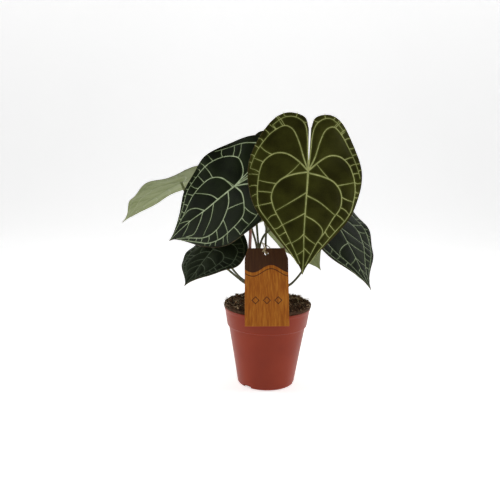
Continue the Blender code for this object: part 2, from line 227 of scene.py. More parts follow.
POT_STEPS = 240
ring = turned(pot_profile(), POT_STEPS)
pot_faces = [tuple(face)[::-1] for face in closed_faces(len(ring), POT_STEPS)]
pot = add_piece("pot_shell", ring, pot_faces, pot_finish, "pot_plastic", "pot")


def cut_with_blocks(piece, blocks):
    """Cuts blocks, each (centre, size, turn in degrees), out of a piece and keeps the result as its
    mesh."""
    corners = np.array([(x, y, z) for x in (-0.5, 0.5) for y in (-0.5, 0.5) for z in (-0.5, 0.5)])
    sides = ((0, 1, 3, 2), (4, 6, 7, 5), (0, 4, 5, 1), (2, 3, 7, 6), (0, 2, 6, 4), (1, 5, 7, 3))
    points, faces = [], []
    for centre, size, turn in blocks:
        cos, sin = math.cos(math.radians(turn)), math.sin(math.radians(turn))
        spin = np.array([(cos, sin, 0), (-sin, cos, 0), (0, 0, 1)])
        faces += [tuple(8 * len(points) + i for i in side) for side in sides]
        points.append((np.array(centre) + corners * size) @ spin)
    mesh = bpy.data.meshes.new("blocks")
    mesh.from_pydata((np.vstack(points) * 0.001).tolist(), [], faces)
    cutter = bpy.data.objects.new("blocks", mesh)
    bpy.context.scene.collection.objects.link(cutter)
    boolean = piece.modifiers.new("Cut", "BOOLEAN")
    boolean.operation = "DIFFERENCE"
    boolean.solver = "EXACT"
    boolean.object = cutter
    done = bpy.data.meshes.new_from_object(piece.evaluated_get(bpy.context.evaluated_depsgraph_get()))
    piece.modifiers.clear()
    piece.data = done
    bpy.data.objects.remove(cutter)


# The notches reach 6 mm in from the body's foot and up to 3.6 mm above the base
DRAIN_SIZE = (8.0, 14.0, 4.6)
DRAIN_CENTRE = (BODY_FOOT_RADIUS + 2.0 - DRAIN_SIZE[0] / 2, 0.0, DRAIN_SIZE[2] / 2 - 1.0)
DRAIN_DEGREES = (348, 468, 588)
cut_with_blocks(pot, [(DRAIN_CENTRE, DRAIN_SIZE, degrees) for degrees in DRAIN_DEGREES])


# Growing mix
# Damp dark peat with coir fibre and bits of bark, filled by hand and heaped a little over the rim. One
# rough surface carries loose crumbs, and pale fibres stick out of it.

MIX_GAP = 0.35
MIX_EDGE_RADIUS = 59.4
MIX_EDGE_HEIGHT = 114.8
MIX_FRONT_RADIUS = 58.6
MIX_SPILL = 2.6
MIX_SPILL_DEGREES = (36, 56)
MIX_CENTRE_HEIGHT = 119.5
MIX_HOLE_RADIUS = 10.4


def lattice_noise(x, y, spacing, seed):
    """Smooth noise in -1..1: random values on a square lattice, blended between its corners with 3 t^2 - 2
    t^3."""
    table = np.random.default_rng(seed).uniform(-1, 1, (64, 64))
    x, y = x / spacing + 900.0, y / spacing + 900.0
    column, row = np.floor(x).astype(int), np.floor(y).astype(int)
    across, up = x - column, y - row
    across, up = across * across * (3 - 2 * across), up * up * (3 - 2 * up)
    a = table[row % 64, column % 64] * (1 - across) + table[row % 64, (column + 1) % 64] * across
    b = table[(row + 1) % 64, column % 64] * (1 - across) + table[(row + 1) % 64, (column + 1) % 64] * across
    return a * (1 - up) + b * up


def heap_height(x, y):
    """A low dome, centre minus k r^2, with lumps of 14, 5 and 2 mm."""
    radius = np.hypot(x, y)
    dome = MIX_CENTRE_HEIGHT - (MIX_CENTRE_HEIGHT - MIX_EDGE_HEIGHT) * (radius / MIX_EDGE_RADIUS) ** 2
    lumps = 1.6 * lattice_noise(x, y, 14, 1) + 1.3 * lattice_noise(x, y, 5, 2)
    lumps = lumps + 0.8 * lattice_noise(x, y, 2, 3)
    return dome + lumps * np.clip((62.5 - radius) / 6, 0.45, 1)


def mix_reach(turn):
    """Radius of the heap's edge. It spills over the rim all round but for the front, where the tag
    leans."""
    start, full = np.radians(MIX_SPILL_DEGREES)
    from_front = np.abs((turn + 1.5 * math.pi) % (2 * math.pi) - math.pi)
    return MIX_FRONT_RADIUS + MIX_SPILL * np.clip((from_front - start) / (full - start), 0, 1)


def maths(tree, operation, *values):
    """One Math node. Each value is a socket or a number."""
    node = add_node(tree, "Math", operation=operation)
    for slot, value in enumerate(values):
        if isinstance(value, (int, float)):
            node.inputs[slot].default_value = value
        else:
            tree.links.new(value, node.inputs[slot])
    return node.outputs[0]


def attribute(tree, name):
    """A number that the mesh carries at its points."""
    return add_node(tree, "Attribute", attribute_name=name).outputs["Fac"]


# Peat is dead matt, nearly black where damp, with brown fibres. Each crumb and fibre has its own shade.
mix_finish, tree, shader = new_finish("damp_peat_and_coir", 0.95, Specular_IOR_Level=0.25)
mottle = noise(tree, object_place(tree), 420, 5, Roughness=0.7)
halved = maths(tree, "MULTIPLY", maths(tree, "ADD", attribute(tree, "shade"), mottle), 0.5)
peat_browns = ((0.15, "#20150d"), (0.36, "#402b1c"), (0.52, "#654a33"), (0.7, "#a88b69"), (0.9, "#d8c5a3"))
give_colour(tree, shader, halved, *peat_browns)
give_bump(tree, shader, mottle, 0.8, 1.2)

MIX_TURNS, MIX_RINGS = 260, 90
turn = np.linspace(0, 2 * math.pi, MIX_TURNS, endpoint=False)[None, :]
share = np.linspace(0, 1, MIX_RINGS)[:, None]
edge_wobble = lattice_noise(40 * np.cos(turn), 40 * np.sin(turn), 3, 5) * share**8
radius = MIX_HOLE_RADIUS + (mix_reach(turn) - MIX_HOLE_RADIUS - 0.6) * share + edge_wobble
x, y = radius * np.cos(turn), radius * np.sin(turn)
heap = np.stack([x, y, heap_height(x, y)], axis=-1)
wall = turned(
    [
        (MIX_EDGE_RADIUS - 0.2, POT_HEIGHT + MIX_GAP + 0.5),
        (MIX_EDGE_RADIUS - 0.8, POT_HEIGHT + MIX_GAP),
        (RIM_RADIUS - POT_WALL - MIX_GAP - 0.5, POT_HEIGHT - 1.0),
        (COLLAR_FOOT_RADIUS - POT_WALL - MIX_GAP - 0.2, COLLAR_FOOT_HEIGHT + 2.4),
        (BODY_TOP_RADIUS - POT_WALL - MIX_GAP - 0.2, COLLAR_FOOT_HEIGHT - 2.0),
        (BODY_FOOT_RADIUS - POT_WALL - MIX_GAP, 6.2),
        (BODY_FOOT_RADIUS - 6.6, 2.3),
    ],
    MIX_TURNS,
)
hole = turned([(MIX_HOLE_RADIUS - 0.3, 95.5)], MIX_TURNS)
wall[:2, :, :2] *= (mix_reach(turn) / MIX_EDGE_RADIUS).reshape(1, -1, 1)
body = np.concatenate([hole, heap, wall])
mix_shade = np.full(body.shape[:2], 0.28)
mix_shade[1 : MIX_RINGS + 1] += 0.16 * lattice_noise(x, y, 3, 8)
mix_faces = closed_faces(len(body), MIX_TURNS)
shades = {"shade": mix_shade}
add_piece("growing_mix_heap", body, mix_faces, mix_finish, "growing_mix", "growing_mix", shades)


def ball_mesh():
    """A 12-cornered ball: (0, +-1, +-g) and its turns, g the golden ratio, each scaled to length 1."""
    g = (1 + math.sqrt(5)) / 2
    corners = [(0, a, b * g) for a in (-1, 1) for b in (-1, 1)]
    once = [(p[1], p[2], p[0]) for p in corners]
    twice = [(p[2], p[0], p[1]) for p in corners]
    corners = np.array(corners + once + twice, float)
    corners /= np.linalg.norm(corners[0])
    near = np.linalg.norm(corners[:, None] - corners[None], axis=-1) < 1.2
    faces = []
    for i, j, k in combinations(range(12), 3):
        if near[i, j] and near[j, k] and near[i, k]:
            out = np.dot(np.cross(corners[j] - corners[i], corners[k] - corners[i]), corners[i]) > 0
            faces.append((i, j, k) if out else (i, k, j))
    return corners, np.array(faces)


CRUMB_SHADES = (0.08, 0.2, 0.34, 0.5, 0.95)
CRUMB_ODDS = (0.25, 0.3, 0.25, 0.15, 0.05)


def scattered_crumbs(count, seed, small, large):
    """Jittered, stretched and turned copies of the ball laid on the heap: place + size * turn(stretch *
    corner)."""
    random = np.random.default_rng(seed)
    corners, faces = ball_mesh()
    angle = random.uniform(0, 2 * math.pi, count)
    size = small + (large - small) * random.uniform(0, 1, count) ** 3
    distance = (mix_reach(angle) - 0.3 - 0.8 * size) * np.sqrt(random.uniform(0.05, 1, count))
    x, y = distance * np.cos(angle), distance * np.sin(angle)
    place = np.stack([x, y, heap_height(x, y) + size * 0.25], axis=-1)
    turns, _ = np.linalg.qr(random.normal(size=(count, 3, 3)))
    turns[np.linalg.det(turns) < 0, 0] *= -1
    stretch = random.uniform(0.55, 1.3, (count, 1, 3))
    shapes = corners * random.uniform(0.75, 1.15, (count, 12, 1)) * stretch * size[:, None, None]
    points = place[:, None] + np.einsum("nij,nkj->nki", turns, shapes)
    faces = (faces[None] + 12 * np.arange(count)[:, None, None]).reshape(-1, 3)
    shade = np.repeat(random.choice(CRUMB_SHADES, count, p=CRUMB_ODDS), 12)
    return points.reshape(-1, 3), faces, shade


points, faces, shade = scattered_crumbs(3600, 21, 0.5, 2.8)
shades = {"shade": shade}
add_piece("growing_mix_crumbs", points, faces.tolist(), mix_finish, "growing_mix", attributes=shades)


def smooth_line(points, count):
    """Even points of a Catmull-Rom curve: p1 + ((p2-p0) t + (2p0-5p1+4p2-p3) t^2 + (3p1-p0-3p2+p3) t^3) /
    2."""
    points = np.asarray(points, float)
    ends = np.vstack([2 * points[0] - points[1], points, 2 * points[-1] - points[-2]])
    share = np.linspace(0, 1, 12, endpoint=False)[:, None]
    before, start, stop, after = (ends[i : len(ends) - 3 + i, None] for i in range(4))
    linear = (stop - before) * share
    square = (2 * before - 5 * start + 4 * stop - after) * share**2
    cube = (3 * start - before - 3 * stop + after) * share**3
    fine = (start + 0.5 * (linear + square + cube)).reshape(-1, points.shape[1])
    fine = np.vstack([fine, points[-1:]])
    run = np.concatenate([[0], np.cumsum(np.linalg.norm(np.diff(fine, axis=0), axis=1))])
    wanted = np.linspace(0, run[-1], count)
    return np.stack([np.interp(wanted, run, column) for column in fine.T], axis=-1)


def tube(path, radii, sides):
    """A round section carried along a path: path + r (cos a n + sin a b), n kept from twisting. Returns its
    grid."""
    path = np.asarray(path, float)
    radii = np.broadcast_to(radii, (len(path),))
    along = np.gradient(path, axis=0)
    along /= np.linalg.norm(along, axis=1, keepdims=True)
    helper = np.eye(3)[np.argmin(np.abs(along[0]))]
    side = np.cross(along[0], helper)
    sides_of = []
    for direction in along:
        side = side - direction * np.dot(side, direction)
        side = side / np.linalg.norm(side)
        sides_of.append(side)
    side = np.array(sides_of)
    other = np.cross(along, side)
    turn = np.linspace(0, 2 * math.pi, sides, endpoint=False)
    ring = side[:, None] * np.cos(turn)[:, None] + other[:, None] * np.sin(turn)[:, None]
    return path[:, None] + radii[:, None, None] * ring


def join_tubes(parts, sides):
    """Several tube grids as one list of points and one of faces."""
    points, faces, first = [], [], 0
    for grid in parts:
        points.append(grid.reshape(-1, 3))
        faces += closed_faces(len(grid), sides, first)
        first += len(grid) * sides
    return np.vstack(points), faces


FIBRE_POINTS, FIBRE_SIDES = 9, 5
FIBRE_SHADES = (0.35, 0.6, 1.0, 1.25)
FIBRE_ODDS = (0.3, 0.35, 0.2, 0.15)


def scattered_fibres(count, seed):
    """Coir fibres: each an arched curve from inside the heap, over it and back down or out into the air."""
    random = np.random.default_rng(seed)
    parts, shades = [], []
    for _ in range(count):
        distance = math.sqrt(random.uniform(0.06, 1)) * 58.0
        angle = random.uniform(0, 2 * math.pi)
        start = np.array([distance * math.cos(angle), distance * math.sin(angle)])
        heading = random.uniform(0, 2 * math.pi)
        length = random.uniform(5, 20)
        bend = random.uniform(-0.9, 0.9)
        share = np.linspace(0, 1, FIBRE_POINTS)
        turn = heading + bend * share
        flat = start + np.stack([np.cos(turn), np.sin(turn)], axis=-1) * (length * share)[:, None]
        reach = np.linalg.norm(flat, axis=1, keepdims=True)
        reach_there = mix_reach(np.arctan2(flat[:, 1:], flat[:, :1]))
        widest = reach_there - 2.0 + random.uniform(1, 4) * (reach_there - MIX_FRONT_RADIUS) / MIX_SPILL
        flat = flat * np.minimum(1, widest / reach)
        lift = random.uniform(0.8, 5.0) * np.sin(math.pi * share * random.uniform(0.55, 1.0)) - 0.3
        height = heap_height(flat[:, 0], flat[:, 1]) + lift
        radius = random.uniform(0.13, 0.36) * (1 - 0.6 * share)
        parts.append(tube(np.column_stack([flat, height]), radius, FIBRE_SIDES))
        shades.append(np.full(FIBRE_POINTS * FIBRE_SIDES, random.choice(FIBRE_SHADES, p=FIBRE_ODDS)))
    points, faces = join_tubes(parts, FIBRE_SIDES)
    return points, faces, np.concatenate(shades)


points, faces, shade = scattered_fibres(1000, 33)
add_piece("growing_mix_fibres", points, faces, mix_finish, "growing_mix", attributes={"shade": shade})


# Crown
# The short thick stem at the middle of the mix that every leaf grows from. Its knob is ringed by old leaf
# scars; the dry brown bracts that stand round the petioles' feet are not built.

CROWN_RADIUS = 9.0
KNOB_RADIUS = 10.0
KNOB_HEIGHT = 121.0
CROWN_STEPS = 48

crown_finish, tree, shader = new_finish("ringed_green_brown_bark", 0.75)
mottle = noise(tree, object_place(tree), 260, 4)
give_colour(tree, shader, mottle, (0.35, "#3a2c1a"), (0.55, "#5c5230"), (0.75, "#77703f"))
give_bump(tree, shader, mottle, 0.5, 0.8)

dome = arc_profile((0.0, KNOB_HEIGHT), KNOB_RADIUS - 0.15, 88, -28, 22)
dome[:, 0] += 0.12 * np.sin(dome[:, 1] * 4.0)
crown_profile = np.vstack([dome, [(CROWN_RADIUS - 0.4, 112.0), (CROWN_RADIUS - 0.4, 100.0), (4.0, 96.4)]])
ring = turned(crown_profile, CROWN_STEPS)
add_piece("crown_knob", ring, closed_faces(len(ring), CROWN_STEPS), crown_finish, "crown_bark", "crown")


# Petioles
# Each leaf's own round stalk, firm and smooth, bending from the crown to a slightly swollen joint under the
# blade. It is one growth with its leaf and changes from green-brown at the foot to the blade's tint at the
# joint.

BLADE_THICKNESS = 0.9
STEM_RADII = (2.3, 1.5, 1.9)
STEM_GAP = 0.45
STEM_JOIN = 0.03
STEM_LEAN_DEGREES = 52
STEM_END_REACH = 16.0
STEM_FOOT_REACH = 26.0
STEM_END_LIFT = 0.35
STEM_POINTS, STALK_SIDES = 40, 20

# Joint of petiole and blade, heading, dip and bank of the blade in degrees, its length, left and right
# width factors, fold, droop, roll, phase of the edge wave, where the petiole bends, its direction out of
# the crown
Leaf = namedtuple("Leaf", "joint heading dip bank length left right fold droop roll phase bend turn")
LEAVES = {
    "a": Leaf((44.7, -68, 299.7), -100, 78, -19, 128, 1.03, 0.99,
              -0.06, 0.03, -0.05, 0.4, (20, -13, 190), 310),
    "b": Leaf((-50, 0, 275.6), 153.6, 35.3, -74.7, 142.4, 0.71, 0.96,
              0.22, 0.11, 0.05, 1.3, (-18.5, -5, 203), 190),
    "c": Leaf((-129.8, 100.5, 277.4), 156, 24.1, -0.6, 134.6, 1.0, 1.01,
              0.03, 0.146, 0.046, 2.1, (-42.6, 30, 147), 150),
    "d": Leaf((-77.2, 0, 188.5), 238, 31.8, 0.9, 75.1, 1.01, 1.2,
              0.16, 0.02, -0.46, 0.9, (-39, -12, 150), 230),
    "e": Leaf((89.2, 45, 239.7), -58.5, 43.2, -11.2, 135, 1.02, 1.02,
              -0.1, 0.05, 0.02, 2.8, (38, 5, 146), 350),
    "f": Leaf((10, 16, 313), -78, 66, 0, 78, 1.0, 1.0,
              0.03, 0.05, 0.0, 0.2, (-4, 4, 196), 30),
    "g": Leaf((-17.9, 62, 253.8), 138, 46, 34, 73.5, 1.03, 1.05,
              0.09, 0.05, 0.02, 1.7, (-14, 20, 195), 110),
    "h": Leaf((35.6, 100, 213.2), -1, 52.8, -54, 86, 0.98, 0.99,
              0.08, 0.06, -0.02, 2.4, (-12, 5, 194), 70),
}


def blade_axes(heading, dip, bank):
    """Unit vectors across the blade, along it (cos h cos d, sin h cos d, -sin d) and out of its face."""
    heading, dip, bank = np.radians((heading, dip, bank))
    along = np.array([math.cos(heading) * math.cos(dip), math.sin(heading) * math.cos(dip), -math.sin(dip)])
    level = np.array([math.cos(heading) * math.sin(dip), math.sin(heading) * math.sin(dip), math.cos(dip)])
    side = np.cross(level, along)
    across = side * math.cos(bank) + level * math.sin(bank)
    out = level * math.cos(bank) - side * math.sin(bank)
    return across, along, out


# What Blender divides by where it sets a curve's automatic handles
AUTO_HANDLE = 2.5614


def eased_path(knots, first_handle, last_handle, radii, count):
    """Arcs a (1-t)^3 + 3 b t (1-t)^2 + 3 c t^2 (1-t) + d t^3 through the knots, with automatic handles at the
    inner knots, and even radii between theirs."""
    knots = np.asarray(knots, float)
    before, after = knots.copy(), knots.copy()
    after[0] = knots[0] + first_handle
    before[-1] = knots[-1] - last_handle
    for i in range(1, len(knots) - 1):
        back, ahead = knots[i] - knots[i - 1], knots[i + 1] - knots[i]
        back_length, ahead_length = np.linalg.norm(back), np.linalg.norm(ahead)
        lean = back / back_length + ahead / ahead_length
        reach = np.linalg.norm(lean) * AUTO_HANDLE
        before[i] = knots[i] - lean * back_length / reach
        after[i] = knots[i] + lean * ahead_length / reach
    share = np.linspace(0, 1, count, endpoint=False)[:, None]
    rest = 1 - share
    paths, sizes = [], []
    for i in range(len(knots) - 1):
        a, b, c, d = knots[i], after[i], before[i + 1], knots[i + 1]
        paths.append(a * rest**3 + 3 * b * share * rest**2 + 3 * c * share**2 * rest + d * share**3)
        sizes.append(radii[i] + (radii[i + 1] - radii[i]) * share[:, 0])
    return np.vstack([*paths, knots[-1:]]), np.append(np.concatenate(sizes), radii[-1])


def crown_direction(degrees):
    """Unit vector out of the knob: (cos t sin l, sin t sin l, cos l), t its turn and l the stems' lean."""
    lean, turn = math.radians(STEM_LEAN_DEGREES), math.radians(degrees)
    return np.array([math.cos(turn) * math.sin(lean), math.sin(turn) * math.sin(lean), math.cos(lean)])


def crown_start(degrees):
    """A stem's first point: the knob's centre + (radius + gap - 0.6 mm) along the stem's direction."""
    return np.array([0, 0, KNOB_HEIGHT]) + (KNOB_RADIUS + STEM_GAP - 0.6) * crown_direction(degrees)


# Living stalk skin: a waxy satin with fine streaks in its colour and surface.
stalk_finish, tree, shader = new_finish("green_brown_stalk_skin", 0.42, Subsurface_Weight=0.1)
shader.inputs["Subsurface Radius"].default_value = (0.001, 0.0008, 0.0003)
streak = noise(tree, object_place(tree), 330, 4, Roughness=0.65)
shifted = maths(tree, "ADD", attribute(tree, "along"), maths(tree, "MULTIPLY_ADD", streak, 0.5, -0.25))
stalk_tints = ((0.0, "#453420"), (0.12, "#4f4a2c"), (0.5, "#5d5c40"), (0.9, "#6c7049"), (1.0, "#8b9168"))
give_colour(tree, shader, shifted, *stalk_tints)
give_bump(tree, shader, streak, 0.2, 0.4)


def stalk_radii(radii, run):
    """radii + 0.25 exp(-((s - 0.93) / 0.04)^2) at the joint + 0.5 exp(-(s / 0.05)^2) at the foot."""
    joint = 0.25 * np.exp(-(((run - 0.93) / 0.04) ** 2))
    foot = 0.5 * np.exp(-((run / 0.05) ** 2))
    return radii + joint + foot


for letter, leaf in LEAVES.items():
    _, along_blade, out_of_blade = blade_axes(leaf.heading, leaf.dip, leaf.bank)
    under = BLADE_THICKNESS / 2 + STEM_GAP
    end = np.array(leaf.joint) + along_blade * STEM_JOIN * leaf.length - out_of_blade * under
    foot = crown_direction(leaf.turn) * STEM_FOOT_REACH
    knots = (crown_start(leaf.turn), leaf.bend, end)
    path, radii = eased_path(knots, foot, out_of_blade * STEM_END_REACH, STEM_RADII, STEM_POINTS)
    path[-1] += out_of_blade * STEM_END_LIFT
    run = np.linspace(0, 1, len(path))
    add_piece(
        f"leaf_{letter}_stalk",
        tube(path, stalk_radii(radii, run), STALK_SIDES),
        closed_faces(len(path), STALK_SIDES),
        stalk_finish,
        "petiole_skin",
        f"leaf_{letter}_petiole",
        {"along": np.repeat(run, STALK_SIDES)},
    )


# Blades
# Thick, velvety heart-shaped leaves. Main veins arch from the joint in nested hearts to the tip, short
# veins cross between them, and the flesh swells a little between the veins. The upper face is dark, the
# lower one pale.

# Right half of the outline in blade lengths: across the blade, then along the midrib from the joint
HEART = (
    (0.011, -0.43), (0.05, -0.54), (0.17, -0.58), (0.28, -0.55),
    (0.38, -0.46), (0.48, -0.30), (0.545, -0.12), (0.567, 0.05),
    (0.55, 0.20), (0.49, 0.36), (0.40, 0.50), (0.29, 0.63),
    (0.18, 0.745), (0.09, 0.845), (0.03, 0.925), (0.0, 1.0),
)
EDGE_WAVE = 0.02
EDGE_WAVES = 7
WAVE_MIDDLE = 0.2
WAVE_HALF_WIDTH = 0.56
WAVE_HALF_LENGTH = 0.8

# Main veins of one net: widths at start and end in mm, then places in blade lengths
NET_FULL = (
    (2.6, 0.5, ((0, -0.02), (-0.004, 0.21), (-0.008, 0.4), (-0.008, 0.62), (0.0, 0.8), (0.0, 0.985))),
    (2.0, 0.6, ((0, 0.0), (-0.13, 0.03), (-0.24, 0.08), (-0.31, 0.16), (-0.335, 0.26), (-0.31, 0.36),
        (-0.27, 0.44), (-0.21, 0.54), (-0.15, 0.65), (-0.09, 0.76), (-0.03, 0.89))),
    (2.0, 0.6, ((0, 0.01), (0.14, 0.03), (0.26, 0.07), (0.34, 0.15), (0.365, 0.24), (0.345, 0.34),
        (0.29, 0.42), (0.25, 0.49), (0.2, 0.58), (0.13, 0.68), (0.07, 0.8), (0.02, 0.91))),
    (1.9, 0.6, ((0, -0.01), (-0.11, -0.11), (-0.22, -0.165), (-0.33, -0.155), (-0.42, -0.08),
        (-0.455, 0.02), (-0.47, 0.15), (-0.465, 0.27), (-0.44, 0.38), (-0.37, 0.48), (-0.3, 0.57),
        (-0.22, 0.67), (-0.13, 0.78), (-0.05, 0.9))),
    (1.9, 0.6, ((0, -0.01), (0.12, -0.12), (0.22, -0.18), (0.33, -0.18), (0.415, -0.12), (0.46, -0.03),
        (0.495, 0.08), (0.505, 0.19), (0.475, 0.33), (0.42, 0.43), (0.33, 0.54), (0.24, 0.65),
        (0.15, 0.76), (0.06, 0.89))),
    (1.9, 0.5, ((0, -0.01), (-0.05, -0.14), (-0.1, -0.29), (-0.155, -0.4), (-0.225, -0.44), (-0.3, -0.41),
        (-0.39, -0.33), (-0.465, -0.22), (-0.51, -0.12), (-0.545, 0.0))),
    (1.9, 0.5, ((0, -0.01), (0.06, -0.14), (0.105, -0.3), (0.155, -0.42), (0.23, -0.465), (0.3, -0.43),
        (0.38, -0.34), (0.46, -0.21), (0.505, -0.1), (0.545, 0.02))),
    (1.8, 0.5, ((0, -0.02), (-0.012, -0.2), (-0.022, -0.35), (-0.045, -0.46), (-0.1, -0.52),
        (-0.18, -0.54), (-0.27, -0.51), (-0.36, -0.43))),
    (1.8, 0.5, ((0, -0.02), (0.014, -0.2), (0.026, -0.36), (0.055, -0.46), (0.11, -0.52), (0.19, -0.545),
        (0.27, -0.51), (0.36, -0.43))),
    (1.5, 0.6, ((-0.004, 0.2), (-0.13, 0.29), (-0.29, 0.4))),
    (1.5, 0.6, ((0, 0.23), (0.14, 0.29), (0.3, 0.4))),
    (1.3, 0.6, ((-0.006, 0.4), (-0.1, 0.46), (-0.22, 0.53))),
    (1.3, 0.5, ((0, 0.43), (0.09, 0.47), (0.165, 0.53), (0.18, 0.59), (0.13, 0.68))),
    (1.1, 0.5, ((-0.006, 0.6), (-0.05, 0.65), (-0.12, 0.7))),
    (1.1, 0.5, ((0, 0.62), (0.05, 0.66), (0.12, 0.7))),
    (0.9, 0.4, ((0, 0.74), (0.035, 0.77), (0.07, 0.8))),
    (0.9, 0.4, ((0, 0.76), (-0.035, 0.79), (-0.065, 0.81))),
)
NET_LOOSE = (
    (2.6, 0.5, ((0, -0.02), (0.006, 0.2), (0.008, 0.41), (-0.01, 0.62), (-0.01, 0.8), (0.0, 0.985))),
    (1.9, 0.5, ((0, 0.0), (-0.11, 0.025), (-0.2, 0.06), (-0.27, 0.13), (-0.3, 0.21), (-0.3, 0.3),
        (-0.28, 0.39), (-0.24, 0.5), (-0.17, 0.63), (-0.1, 0.76), (-0.03, 0.9))),
    (1.9, 0.5, ((0, -0.02), (-0.04, -0.13), (-0.14, -0.19), (-0.27, -0.2), (-0.37, -0.13), (-0.43, -0.04),
        (-0.455, 0.08), (-0.455, 0.22), (-0.43, 0.34), (-0.37, 0.46), (-0.28, 0.58), (-0.19, 0.7),
        (-0.09, 0.84))),
    (1.9, 0.5, ((0.004, 0.07), (0.13, 0.1), (0.23, 0.18), (0.3, 0.29), (0.315, 0.4), (0.28, 0.51),
        (0.21, 0.62), (0.13, 0.74), (0.05, 0.88))),
    (1.9, 0.5, ((0, -0.02), (0.13, -0.075), (0.26, -0.06), (0.36, -0.02), (0.41, 0.07), (0.425, 0.2),
        (0.42, 0.34), (0.38, 0.46), (0.29, 0.58), (0.19, 0.71), (0.09, 0.84))),
    (1.8, 0.5, ((0, -0.02), (-0.045, -0.2), (-0.085, -0.34), (-0.15, -0.43), (-0.24, -0.46),
        (-0.33, -0.39), (-0.42, -0.28), (-0.485, -0.15), (-0.54, -0.02))),
    (1.8, 0.5, ((0, -0.02), (0.08, -0.17), (0.17, -0.28), (0.27, -0.31), (0.37, -0.26), (0.45, -0.15),
        (0.5, -0.05), (0.545, 0.05))),
    (1.7, 0.5, ((0, -0.02), (0.02, -0.2), (0.04, -0.36), (0.085, -0.47), (0.17, -0.5), (0.27, -0.46),
        (0.36, -0.38))),
    (1.6, 0.5, ((0, -0.02), (-0.014, -0.22), (-0.028, -0.38), (-0.07, -0.49), (-0.14, -0.53),
        (-0.22, -0.52))),
    (1.5, 0.5, ((0.006, 0.21), (-0.1, 0.255), (-0.19, 0.33), (-0.27, 0.41))),
    (1.4, 0.5, ((0.006, 0.27), (0.15, 0.36), (0.26, 0.5))),
    (1.4, 0.5, ((0.006, 0.41), (-0.1, 0.49), (-0.15, 0.59), (-0.13, 0.71))),
    (1.4, 0.5, ((0.006, 0.43), (0.09, 0.51), (0.155, 0.62), (0.12, 0.74))),
    (1.0, 0.4, ((-0.008, 0.62), (-0.05, 0.68), (-0.09, 0.77))),
    (1.0, 0.4, ((-0.008, 0.64), (0.04, 0.7), (0.08, 0.78))),
)
# Short cross veins run from one main vein, given by its place in the net, to another or to the margin,
# between two shares of the first one's run
MARGIN = -1
RUNGS_FULL = (
    (1, 3, 0.2, 0.86), (2, 4, 0.2, 0.86), (3, 5, 0.26, 0.42), (4, 6, 0.26, 0.42),
    (5, 7, 0.5, 0.66), (6, 8, 0.5, 0.66), (3, MARGIN, 0.42, 0.94), (4, MARGIN, 0.42, 0.94),
    (5, MARGIN, 0.5, 0.98), (6, MARGIN, 0.5, 0.98), (7, MARGIN, 0.6, 0.95), (8, MARGIN, 0.6, 0.95),
)
RUNGS_LOOSE = (
    (1, 2, 0.2, 0.86), (3, 4, 0.2, 0.86), (2, 5, 0.24, 0.42), (4, 6, 0.24, 0.42),
    (5, 8, 0.5, 0.66), (6, 7, 0.5, 0.66), (2, MARGIN, 0.45, 0.9), (4, MARGIN, 0.45, 0.9),
)
RUNG_SPACING, MARGIN_SPACING = 0.105, 0.8
RUNG_WIDTHS, MARGIN_WIDTHS = (1.0, 0.55), (0.9, 0.35)
SHORTEST_RUNG, LONGEST_RUNG = 0.025, 0.27
RUNG_JITTER = 0.01
MARGIN_INSET, MARGIN_REACH = 0.02, 0.93
RUNG_SAMPLES = 15
NET_SAMPLES = 61


def edge_wave(across, along, phase):
    """Rise of the wavy margin in blade lengths: w reach^3 sin(n angle + phase) round its middle."""
    reach = np.hypot(across / WAVE_HALF_WIDTH, (along - WAVE_MIDDLE) / WAVE_HALF_LENGTH)
    angle = np.arctan2(across, along - WAVE_MIDDLE)
    return EDGE_WAVE * np.clip(reach, 0, 1.1) ** 3 * np.sin(EDGE_WAVES * angle + phase)


def net_lines(net, rungs, mirror, seed):
    """The main veins as smooth lines, and cross veins between them, as (places, widths) pairs."""
    random = np.random.default_rng(seed)
    lines = []
    for start_width, end_width, places in net:
        line = smooth_line(places, NET_SAMPLES)
        share = np.linspace(0, 1, NET_SAMPLES)
        lines.append((line, start_width + (end_width - start_width) * share**0.7))
    for inner, outer, first, last in rungs:
        line = lines[inner][0]
        to_margin = outer == MARGIN
        spacing = RUNG_SPACING / np.linalg.norm(np.diff(line, axis=0), axis=1).sum()
        rim = smooth_line(HEART, 90) * (np.sign(line[NET_SAMPLES // 2, 0]), 1)
        target = rim + (0, -MARGIN_INSET) if to_margin else lines[outer][0]
        widths = MARGIN_WIDTHS if to_margin else RUNG_WIDTHS
        for share in np.arange(first, last, spacing * (MARGIN_SPACING if to_margin else 1.0)):
            start = line[int((share + random.uniform(-RUNG_JITTER, RUNG_JITTER)) * (NET_SAMPLES - 1))]
            stop = target[np.argmin(np.linalg.norm(target - start, axis=1))]
            if to_margin:
                stop = start + (stop - start) * MARGIN_REACH
            if SHORTEST_RUNG < np.linalg.norm(stop - start) < LONGEST_RUNG:
                middle = (start + stop) / 2 + random.uniform(-RUNG_JITTER, RUNG_JITTER, 2)
                rung = smooth_line((start, middle, stop), RUNG_SAMPLES)
                lines.append((rung, np.linspace(*widths, RUNG_SAMPLES)))
    if mirror:
        lines = [(line * (-1, 1), widths) for line, widths in lines]
    return lines


def distance_to_lines(points, lines, length):
    """Least distance in mm from each place to the lines' sample points, less half the line's width."""
    samples = np.vstack([line for line, _ in lines])
    halves = np.concatenate([widths for _, widths in lines]) / 2
    best = np.full(len(points), 1e9)
    for first in range(0, len(samples), 64):
        gap = np.linalg.norm(points[:, None] - samples[None, first : first + 64], axis=-1) * length
        best = np.minimum(best, (gap - halves[None, first : first + 64]).min(axis=1))
    return best


BLADE_COLUMNS, BLADE_ROWS = 52, 104


